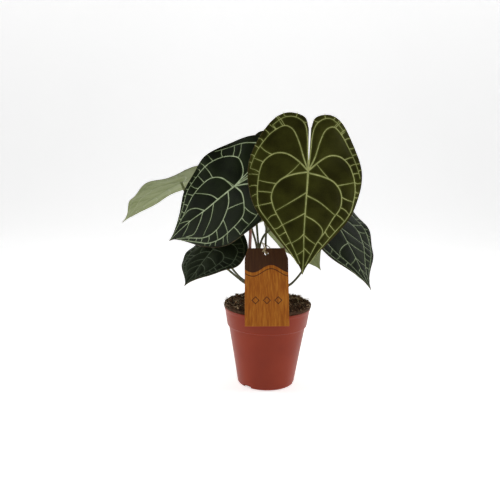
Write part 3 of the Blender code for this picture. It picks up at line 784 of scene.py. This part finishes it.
def heart_grid():
    """Places in blade lengths: rib (1 - t) + edge t. The first row is the sinus, t runs out from the rib."""
    down = np.linspace(0, 1, BLADE_ROWS + 1)[:, None]
    side = np.linspace(-1, 1, 2 * BLADE_COLUMNS + 1)[None, :]
    out = np.abs(side)
    edge = smooth_line(HEART, BLADE_ROWS + 1)[:, None, :]
    rib = np.stack([np.zeros_like(down), down**1.5], axis=-1)
    place = rib * (1 - out)[..., None] + edge * out[..., None]
    place = place + np.array((0.0, HEART[0][1])) * ((out**1.5 - out) * (1 - down) ** 4)[..., None]
    place[..., 0] *= np.sign(side)
    return place


def on_blade(leaf, places, lift):
    """joint + length (x across + y along + rise out), where rise = fold |x| - droop y^2 + roll x^2 + the edge
    wave + lift, and lift is in mm above the middle surface."""
    wide = places[:, 0] * np.where(places[:, 0] < 0, leaf.left, leaf.right)
    long = places[:, 1]
    bend = np.sqrt(wide**2 + 0.015**2) - 0.015
    rise = leaf.fold * bend - leaf.droop * long**2 + leaf.roll * wide**2
    rise = rise + edge_wave(places[:, 0], long, leaf.phase) + lift / leaf.length
    across, along, out = blade_axes(leaf.heading, leaf.dip, leaf.bank)
    return np.array(leaf.joint) + leaf.length * (
        np.outer(wide, across) + np.outer(long, along) + np.outer(rise, out)
    )


QUILT_MM, QUILT_REACH_MM = 0.9, 4.0
VEIN_HEIGHT_MM = 0.28
RIB_HEIGHT_MM = 0.75
VEIN_ROOT_MM = 0.25
VEIN_SIDES = 8
RIB_STEP = 2


def quilt(distance):
    """How far the flesh swells away from the veins: q (1 - exp(-(d / reach)^2))."""
    return QUILT_MM * (1 - np.exp(-((np.maximum(distance, 0) / QUILT_REACH_MM) ** 2)))


def vein_tube(leaf, line, widths, face):
    """A lens-shaped rib on the upper (1) or lower (-1) face: (w/2 cos a, h sin a), its back sunk in."""
    flow = np.gradient(line, axis=0)
    flow /= np.linalg.norm(flow, axis=1, keepdims=True) + 1e-9
    side = np.stack([-flow[:, 1], flow[:, 0]], axis=-1)
    height = VEIN_HEIGHT_MM if face > 0 else RIB_HEIGHT_MM
    angle = np.linspace(0, 2 * math.pi, VEIN_SIDES, endpoint=False)
    across = np.cos(angle)
    up = np.where(np.sin(angle) >= 0, np.sin(angle) * height, np.sin(angle) * VEIN_ROOT_MM)
    reach = across[None] * widths[:, None] / 2
    places = line[:, None] + side[:, None] * (reach / leaf.length)[..., None]
    scale = (widths / 2.0)[:, None] ** 0.7
    lift = face * (BLADE_THICKNESS / 2 + up[None] * scale)
    return on_blade(leaf, places.reshape(-1, 2), lift.reshape(-1)).reshape(len(line), VEIN_SIDES, 3)


def fading(tree, value, reach, start, **how):
    """start where value is 0, falling to 0 where it is reach."""
    settings = {"From Max": reach, "To Min": start, "To Max": 0.0}
    return add_node(tree, "MapRange", {"Value": value}, settings, **how).outputs[0]


def blend(tree, factor, first, second):
    """first (1 - factor) + second factor, each a socket or a hex colour."""
    node = add_node(tree, "MixRGB", {"Fac": factor})
    for name, colour in (("Color1", first), ("Color2", second)):
        if isinstance(colour, str):
            node.inputs[name].default_value = tint(colour)
        else:
            tree.links.new(colour, node.inputs[name])
    return node.outputs[0]


def velvet(name, dark, light, halo, lower):
    """Leaf flesh. The upper face is dark with a paler halo by the veins, a faint net and a brown rim, and
    the lower face is pale. Fine hairs give it a soft sheen. Its real net of about 3 mm cells is drawn at that
    size."""
    haired = {"Specular_IOR_Level": 0.05, "Sheen_Weight": 0.012, "Sheen_Roughness": 0.4}
    made, tree, shader = new_finish(name, 0.5, **haired)
    uv = add_node(tree, "UVMap").outputs[0]
    place = object_place(tree)
    cloud = noise(tree, place, 38, 4)
    flesh = colour_ramp(tree, cloud, (0.35, dark), (0.68, light))
    net = {"feature": "DISTANCE_TO_EDGE", "voronoi_dimensions": "2D"}
    cells = add_node(tree, "TexVoronoi", {"Vector": uv}, {"Scale": 0.36}, **net).outputs["Distance"]
    netted = blend(tree, fading(tree, cells, 0.09, 0.1), flesh, halo)
    glow = fading(tree, attribute(tree, "vein"), 2.2, 0.6, interpolation_type="SMOOTHERSTEP")
    border = fading(tree, attribute(tree, "edge"), 0.8, 0.75)
    upper = blend(tree, border, blend(tree, glow, netted, halo), "#6b4a34")
    pale = colour_ramp(tree, cloud, (0.3, lower), (0.75, "#8a9269"))
    tree.links.new(blend(tree, attribute(tree, "under"), upper, pale), shader.inputs["Base Color"])
    relief = maths(tree, "ADD", maths(tree, "MULTIPLY", cells, 0.8), noise(tree, place, 900, 3))
    give_bump(tree, shader, relief, 0.35, 0.8)
    return made


def vein_skin(name, core, rim):
    """Pale vein skin, smoother than the flesh, with slight breaks in its colour."""
    made, tree, shader = new_finish(name, 0.5, Sheen_Weight=0.1)
    give_colour(tree, shader, noise(tree, object_place(tree), 160, 3), (0.35, rim), (0.6, core))
    return made


olive_flesh = velvet("olive_velvet_flesh", "#2a2908", "#3e3f13", "#666c30", "#7d865b")
# Leaf d, the lowest leaf, has its own copies of flesh and vein skin with the halo and veins dimmed: painted
# shade.
shaded_flesh = velvet("shaded_green_velvet_flesh", "#161b12", "#252c1d", "#323b29", "#7d865b")
green_flesh = velvet("dark_green_velvet_flesh", "#0c1107", "#18200d", "#414f2a", "#7d865b")
young_veins = vein_skin("yellow_green_vein_skin", "#bfc379", "#9fa55f")
silver_veins = vein_skin("silver_green_vein_skin", "#bccaa0", "#96a77b")
shaded_veins = vein_skin("shaded_green_vein_skin", "#58644a", "#3c4833")
under_veins = vein_skin("pale_lower_rib_skin", "#97a077", "#858d66")

# Flesh and vein skin, net and cross veins, whether it is mirrored, and the width factor of its veins
LOOKS = {
    "a": (olive_flesh, young_veins, NET_FULL, RUNGS_FULL, False, 1.0),
    "b": (green_flesh, silver_veins, NET_LOOSE, RUNGS_LOOSE, False, 1.0),
    "c": (green_flesh, silver_veins, NET_FULL, RUNGS_FULL, True, 0.9),
    "d": (shaded_flesh, shaded_veins, NET_LOOSE, RUNGS_LOOSE, True, 0.65),
    "e": (green_flesh, silver_veins, NET_FULL, RUNGS_FULL, True, 0.62),
    "f": (green_flesh, silver_veins, NET_LOOSE, RUNGS_LOOSE, False, 0.9),
    "g": (green_flesh, silver_veins, NET_FULL, RUNGS_FULL, False, 0.8),
    "h": (green_flesh, silver_veins, NET_LOOSE, RUNGS_LOOSE, True, 0.8),
}

heart = heart_grid()
rows, columns = heart.shape[:2]
flat_heart = heart.reshape(-1, 2)
outline = np.vstack([smooth_line(HEART, 400), smooth_line(HEART, 400) * (-1, 1)])
edge_share = distance_to_lines(flat_heart, [(outline, np.zeros(len(outline)))], 1.0)
RIM_THINNED, RIM_REACH_MM, QUILT_RIM_MM = 0.55, 2.5, 3.0


def flesh_faces():
    """Quads of the upper and the lower grid, and of the wall that joins them round the outline."""
    upper = grid_faces(rows, columns)
    order = np.arange(rows * columns).reshape(rows, columns)
    rim = np.concatenate([order[:, 0], order[-1, 1:], order[::-1, -1][1:], order[0, ::-1][1:-1]])
    after = np.roll(rim, -1)
    wall = np.stack([rim, rim + order.size, after + order.size, after], axis=-1)
    return [*upper.tolist(), *(upper[:, ::-1] + order.size).tolist(), *wall.tolist()]


def add_flesh(letter, leaf, lines, finish):
    """Both faces at swell +- t/2 (r + (1 - r) sqrt(e)), e the distance from the rim over the rim's reach."""
    distance = distance_to_lines(flat_heart, lines, leaf.length)
    edge = edge_share * leaf.length
    thinned = RIM_THINNED + (1 - RIM_THINNED) * np.clip(edge / RIM_REACH_MM, 0, 1) ** 0.5
    half = BLADE_THICKNESS * thinned / 2
    swell = quilt(distance) * np.clip(edge / QUILT_RIM_MM, 0, 1)
    points = np.vstack([on_blade(leaf, flat_heart, lift) for lift in (swell + half, swell - half)])
    under = np.repeat([0.0, 1.0], len(edge))
    carried = {"vein": np.tile(distance, 2), "edge": np.tile(edge, 2), "under": under}
    places = np.vstack([flat_heart, flat_heart]) * leaf.length
    name, node = f"leaf_{letter}_flesh", f"leaf_{letter}_blade"
    add_piece(name, points, flesh_faces(), finish, "blade_velvet", node, carried, places)


def add_veins(name, leaf, lines, finish, face):
    """The raised lines of one face. The lower face's are a little narrower and have fewer points."""
    step, narrow = (1, 1.0) if face > 0 else (RIB_STEP, 0.8)
    grids = [vein_tube(leaf, line[::step], widths[::step] * narrow, face) for line, widths in lines]
    add_piece(name, *join_tubes(grids, VEIN_SIDES), finish, "blade_velvet")


for number, (letter, leaf) in enumerate(LEAVES.items()):
    flesh, vein_finish, net, rungs, mirror, slender = LOOKS[letter]
    lines = [(line, widths * slender) for line, widths in net_lines(net, rungs, mirror, 50 + number)]
    add_flesh(letter, leaf, lines, flesh)
    add_veins(f"leaf_{letter}_veins", leaf, lines, vein_finish, 1)
    add_veins(f"leaf_{letter}_ribs", leaf, lines, under_veins, -1)


# Young shoot
# A leaf still rolled in its sheath: a slim spear, pink to brown-red, drying to brown at its point. It grows
# from the front of the crown.

SHOOT_PATH = ((-24.6, -22, 185), (-25.6, -22, 218), (-26.2, -22, 229.5))
SHOOT_RADII = (2.1, 2.2, 2.0, 0.25)
SHOOT_TURN = 270

shoot_finish, tree, shader = new_finish("rolled_pink_shoot_skin", 0.4, Subsurface_Weight=0.15)
shader.inputs["Subsurface Radius"].default_value = (0.002, 0.0008, 0.0006)
shoot_tints = ((0.0, "#6b5a3c"), (0.3, "#84605a"), (0.8, "#8a534c"), (0.93, "#8a6a4a"), (1.0, "#6e4a26"))
give_colour(tree, shader, attribute(tree, "along"), *shoot_tints)
knots = (crown_start(SHOOT_TURN), *SHOOT_PATH)
foot = crown_direction(SHOOT_TURN) * STEM_FOOT_REACH
path, radii = eased_path(knots, foot, np.array([0, 0, 4.0]), SHOOT_RADII, 30)
add_piece(
    "young_shoot_spear",
    tube(path, radii, STALK_SIDES),
    closed_faces(len(path), STALK_SIDES),
    shoot_finish,
    "shoot_skin",
    "young_shoot",
    {"along": np.repeat(np.linspace(0, 1, len(path)), STALK_SIDES)},
)


# Tag
# A swing tag of stiff uncoated card printed with a wood grain. Its two upper corners are cut off, a hole is
# punched through the top, and its print is a plain pattern: a dark band, a line under it and three open
# lozenges.

TAG_WIDTH, TAG_HEIGHT, TAG_THICKNESS = 58.0, 104.0, 0.8
TAG_CHAMFER_ACROSS, TAG_CHAMFER_ALONG = 5.0, 14.0
TAG_HOLE_RADIUS, TAG_HOLE_BELOW_TOP = 2.6, 7.0
TAG_FOOT, TAG_TOP = np.array((-1.6, -65.2, 99.5)), np.array((-4.0, -28.0, 197.0))


def card_outline(angle):
    """Distance from the hole to the card's edge: the least positive d / (n . (cos a, sin a)) of its six
    sides."""
    half, top, low = TAG_WIDTH / 2, TAG_HOLE_BELOW_TOP, TAG_HOLE_BELOW_TOP - TAG_HEIGHT
    lean = np.array((TAG_CHAMFER_ALONG, TAG_CHAMFER_ACROSS))
    lean = lean / np.linalg.norm(lean)
    corner = np.dot(lean, (half - TAG_CHAMFER_ACROSS, top))
    sides = [((1, 0), half), ((-1, 0), half), ((0, 1), top), ((0, -1), -low)]
    sides += [(lean, corner), (lean * (-1, 1), corner)]
    reach = np.full(len(angle), 1e9)
    for normal, distance in sides:
        facing = np.cos(angle) * normal[0] + np.sin(angle) * normal[1]
        reach = np.where(facing > 1e-6, np.minimum(reach, distance / np.maximum(facing, 1e-6)), reach)
    return reach


def card_angles(count):
    """Angles round the hole, evenly spread, with the card's six corners among them."""
    half, top, low = TAG_WIDTH / 2, TAG_HOLE_BELOW_TOP, TAG_HOLE_BELOW_TOP - TAG_HEIGHT
    corners = [(half, low), (-half, low), (half, top - TAG_CHAMFER_ALONG), (-half, top - TAG_CHAMFER_ALONG)]
    corners += [(half - TAG_CHAMFER_ACROSS, top), (TAG_CHAMFER_ACROSS - half, top)]
    exact = [math.atan2(y, x) % (2 * math.pi) for x, y in corners]
    return np.unique(np.concatenate([np.linspace(0, 2 * math.pi, count, endpoint=False), exact]).round(6))


# The print's places and sizes on the card, in mm from its foot and its middle line
BAND_HEIGHT, BAND_SWING, BAND_WAVE = 76.0, 5.0, 0.13
CONTOUR_BELOW, CONTOUR_HALF = 5.0, 0.6
LOZENGE_PITCH, LOZENGE_HEIGHT = 15.0, 34.0
LOZENGE_REACH, LOZENGE_HALF = 4.6, 0.7


def printed_pattern(tree, u, v):
    """1 where the card is inked: v > h = b + s sin(w u + 0.8), |v - h + c| < l, and ||u'| + |v'| - r| < k,
    with u' and v' measured from the nearest of three centres in a row."""

    def step(*values):
        """A Math node of this print."""
        return maths(tree, *values)

    wave = step("SINE", step("MULTIPLY_ADD", u, BAND_WAVE, 0.8))
    rolling = step("MULTIPLY_ADD", wave, BAND_SWING, BAND_HEIGHT)
    band = step("GREATER_THAN", v, rolling)
    under_band = step("SUBTRACT", v, step("SUBTRACT", rolling, CONTOUR_BELOW))
    contour = step("LESS_THAN", step("ABSOLUTE", under_band), CONTOUR_HALF)
    half_pitch = LOZENGE_PITCH / 2
    beside = step("SUBTRACT", half_pitch, step("PINGPONG", step("ADD", u, half_pitch), half_pitch))
    spread = step("ADD", beside, step("ABSOLUTE", step("SUBTRACT", v, LOZENGE_HEIGHT)))
    outline = step("LESS_THAN", step("ABSOLUTE", step("SUBTRACT", spread, LOZENGE_REACH)), LOZENGE_HALF)
    in_row = step("LESS_THAN", step("ABSOLUTE", u), 1.5 * LOZENGE_PITCH)
    return step("MAXIMUM", step("MAXIMUM", band, contour), step("MULTIPLY", in_row, outline))


card_finish, tree, shader = new_finish("wood_grain_printed_card", 0.6, Specular_IOR_Level=0.3)
uv = add_node(tree, "UVMap").outputs[0]
parts = add_node(tree, "SeparateXYZ", {"Vector": uv})
stretched = add_node(tree, "Mapping", {"Vector": uv}, {"Scale": (0.5, 0.045, 1.0)}).outputs[0]
grain = noise(tree, stretched, 1, 6, Roughness=0.62, Distortion=0.6)
wood = colour_ramp(tree, grain, (0.3, "#9a4f0c"), (0.5, "#b86815"), (0.66, "#cc8127"))
inked = printed_pattern(tree, parts.outputs["X"], parts.outputs["Y"])
ink = maths(tree, "MULTIPLY", maths(tree, "MULTIPLY", inked, attribute(tree, "front")), 0.9)
tree.links.new(blend(tree, ink, wood, "#27140a"), shader.inputs["Base Color"])
give_bump(tree, shader, grain, 0.15, 0.4)

angle = card_angles(160)
rim = card_outline(angle)
share = np.linspace(0, 1, 14)
half, rounding = TAG_THICKNESS / 2, 0.25
hole = TAG_HOLE_RADIUS + 0.1
face_radii = list(hole + (rim - 0.35 - TAG_HOLE_RADIUS) * share[:, None])
layers = [(radial, half, 1.0) for radial in face_radii]
layers += [(rim, half - rounding, 0.0), (rim, rounding - half, 0.0)]
layers += [(radial, -half, 0.0) for radial in reversed(face_radii)]
up = (TAG_TOP - TAG_FOOT) / np.linalg.norm(TAG_TOP - TAG_FOOT)
out = np.cross((1.0, 0.0, 0.0), up)
out /= np.linalg.norm(out)
across = np.cross(up, out)
card_points, card_uv, card_front = [], [], []
for radial, depth, is_front in layers:
    x, y = radial * np.cos(angle), radial * np.sin(angle) + TAG_HEIGHT - TAG_HOLE_BELOW_TOP
    card_points.append(TAG_FOOT + np.outer(x, across) + np.outer(y, up) + out * depth)
    card_uv.append(np.stack([x, y], axis=-1))
    card_front.append(np.full(len(angle), is_front))
grid = np.array(card_points)
faces = (grid_faces(len(grid) + 1, len(angle), wrap=True) % grid[..., 0].size)[:, ::-1].tolist()
fronts, uvs = {"front": np.array(card_front)}, np.array(card_uv)
tag = add_piece("tag_card_leaf", grid, faces, card_finish, "tag_card", "tag", fronts, uvs)
tag.data.polygons.foreach_set("use_smooth", np.zeros(len(tag.data.polygons), bool))


# Twine
# Two-ply natural jute laid in a closed loop through the tag's hole and round a petiole, tied in front with
# a small knot whose two ends stick out.

TWINE_PATH = (
    (-5.5, -33.0, 191.0), (-7.5, -31.5, 199.5), (-9.0, -22.0, 202.5), (-8.5, -8.0, 200.0),
    (-3.5, 0.5, 196.5), (1.8, -8.0, 193.5), (-1.0, -22.0, 190.5), (-4.6, -28.6, 189.6),
)
PLY_RADIUS = 0.42
PLY_OFFSET = 0.34
PLY_PITCH = 4.2

twine_finish, tree, shader = new_finish("jute_twine", 0.9, Sheen_Weight=0.2)
hairs = noise(tree, object_place(tree), 900, 4)
give_colour(tree, shader, hairs, (0.35, "#8d7752"), (0.65, "#cdb98f"))
give_bump(tree, shader, hairs, 0.6, 0.5)


def plies(path, count=2):
    """Each ply winds round the path at a fixed offset: path + o (cos(2 pi s / pitch + k pi) n + sin(...)
    b)."""
    path = np.asarray(path, float)
    run = np.concatenate([[0], np.cumsum(np.linalg.norm(np.diff(path, axis=0), axis=1))])
    core = tube(path, 1.0, 4) - path[:, None]
    made = []
    for ply in range(count):
        turn = 2 * math.pi * (run / PLY_PITCH + ply / count)
        centre = path + PLY_OFFSET * (core[:, 0] * np.cos(turn)[:, None] + core[:, 1] * np.sin(turn)[:, None])
        made.append(tube(centre, PLY_RADIUS, 8))
    return made


def knot_path(centre):
    """centre + (0.8 sin a + 0.6 sin 2a, 0.6 sin 3a, 1.3 cos a - 0.8 cos 2a), a from 0 to 2 pi."""
    turn = np.linspace(0, 2 * math.pi, 70)
    x = 0.8 * np.sin(turn) + 0.6 * np.sin(2 * turn)
    z = 1.3 * np.cos(turn) - 0.8 * np.cos(2 * turn)
    return centre + np.stack([x, 0.6 * np.sin(3 * turn), z], axis=-1)


loop = smooth_line((*TWINE_PATH, TWINE_PATH[0]), 260)
knot_centre = np.array(TWINE_PATH[0]) + (-1.0, -0.6, 4.0)
tails = [
    smooth_line([knot_centre, knot_centre + (1.0, -1.0, 2.0), knot_centre + (1.2, -1.2, 5.0)], 24),
    smooth_line([knot_centre, knot_centre + (-1.0, -1.0, 1.0), knot_centre + (-2.2, -1.0, -2.4)], 24),
]
parts = [ply for path in (loop, knot_path(knot_centre), *tails) for ply in plies(path)]
points, faces = join_tubes(parts, 8)
add_piece("twine_loop", points, faces, twine_finish, "twine_fibre", "twine")


# Studio
# A pale seamless floor that curves up behind the plant, two tall softboxes at the sides and a weaker one in
# front, as in a catalogue picture.

floor_finish, tree, shader = new_finish("white_studio_floor", 0.9)
shader.inputs["Base Color"].default_value = tint("#f4f4f4")
shader.inputs["Emission Color"].default_value = tint("#ffffff")
shader.inputs["Emission Strength"].default_value = 0.6
floor_mesh = bpy.data.meshes.new("studio_floor")
sweep = arc_profile((0.0, 1.2), 1.2, -90, 0, 24)
back = np.vstack([[(-3.0, 0.0)], sweep, [(1.2, 3.0)]])
left = np.column_stack([np.full(len(back), -4.0), back[:, 0] + 1.2, back[:, 1] - 0.0002])
right = left * (-1, 1, 1)
floor_mesh.from_pydata(
    np.stack([left, right], axis=1).reshape(-1, 3).tolist(), [], grid_faces(len(back), 2)[:, ::-1].tolist()
)
floor_mesh.polygons.foreach_set("use_smooth", np.ones(len(floor_mesh.polygons), bool))
floor_mesh.materials.append(floor_finish)
floor = bpy.data.objects.new("studio_floor", floor_mesh)
bpy.context.scene.collection.objects.link(floor)


def softbox(name, place, aim, size, watts):
    """An area lamp turned to its aim: down by atan2(level distance, drop), then round by the aim's
    heading."""
    lamp = bpy.data.lights.new(name, "AREA")
    lamp.shape = "RECTANGLE"
    lamp.size, lamp.size_y = size
    lamp.energy = watts
    holder = bpy.data.objects.new(name, lamp)
    place, aim = np.array(place), np.array(aim)
    holder.location = place
    direction = aim - place
    flat = math.hypot(direction[0], direction[1])
    holder.rotation_euler = (
        math.atan2(flat, -direction[2]),
        0.0,
        math.atan2(direction[1], direction[0]) - math.pi / 2,
    )
    bpy.context.scene.collection.objects.link(holder)


softbox("softbox_left", (-1.0, 0.05, 0.5), (0, 0, 0.2), (0.6, 1.0), 6)
softbox("softbox_right", (1.0, 0.05, 0.5), (0, 0, 0.2), (0.6, 1.0), 6.5)
softbox("softbox_front", (0.1, -1.5, 1.3), (0, 0, 0.25), (0.9, 0.9), 2.6)

world = bpy.data.worlds.new("studio_air")
bpy.context.scene.world = world
world.use_nodes = True
world.node_tree.nodes["Background"].inputs["Color"].default_value = (1, 1, 1, 1)
world.node_tree.nodes["Background"].inputs["Strength"].default_value = 0.12

# Camera fitted to the pot's rim, step and base: 0.8 m in front, looking 9.3 degrees down, rolled 1 degree
CAMERA_PLACE = (-0.0257, -0.8, 0.3196)
CAMERA_DOWN_DEGREES, CAMERA_ROLL_DEGREES = 9.26, 1.0
FOCAL_PIXELS, PICTURE_PIXELS = 584.1, 500
SENSOR_MM = 36.0
camera_data = bpy.data.cameras.new("camera")
camera_data.sensor_width = SENSOR_MM
camera_data.lens = FOCAL_PIXELS / PICTURE_PIXELS * SENSOR_MM
camera_data.clip_start = 0.05
camera = bpy.data.objects.new("camera", camera_data)
camera.location = CAMERA_PLACE
tilt, roll = math.radians(90 - CAMERA_DOWN_DEGREES), math.radians(CAMERA_ROLL_DEGREES)
turn_down = np.array([(1, 0, 0), (0, math.cos(tilt), -math.sin(tilt)), (0, math.sin(tilt), math.cos(tilt))])
turn_roll = np.array([(math.cos(roll), -math.sin(roll), 0), (math.sin(roll), math.cos(roll), 0), (0, 0, 1)])
matrix = turn_down @ turn_roll
camera.rotation_mode = "QUATERNION"
camera.rotation_quaternion = Matrix(matrix.tolist()).to_quaternion()
bpy.context.scene.collection.objects.link(camera)
bpy.context.scene.camera = camera
bpy.context.scene.view_settings.view_transform = "Standard"
